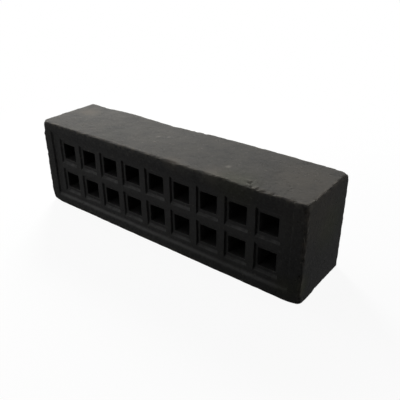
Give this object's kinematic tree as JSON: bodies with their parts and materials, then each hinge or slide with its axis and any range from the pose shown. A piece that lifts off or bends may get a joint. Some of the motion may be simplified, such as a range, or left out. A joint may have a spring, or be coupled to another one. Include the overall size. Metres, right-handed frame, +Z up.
{
  "type": "clay air brick",
  "caption": "Fired clay air brick: a raised rim frames a sunk front panel of square, stepped passages that run right through to let air into a wall.",
  "frame": {"origin": "middle of the lower bed face", "axes": "+X along the brick, -Y out of the grille, +Z up as the brick is laid"},
  "size_m": [0.215, 0.05, 0.065],
  "materials": {
    "fired_clay": "matt, blue-black fired clay"
  },
  "bodies": {
    "root": {"air_brick": "fired_clay"}
  },
  "joints": []
}
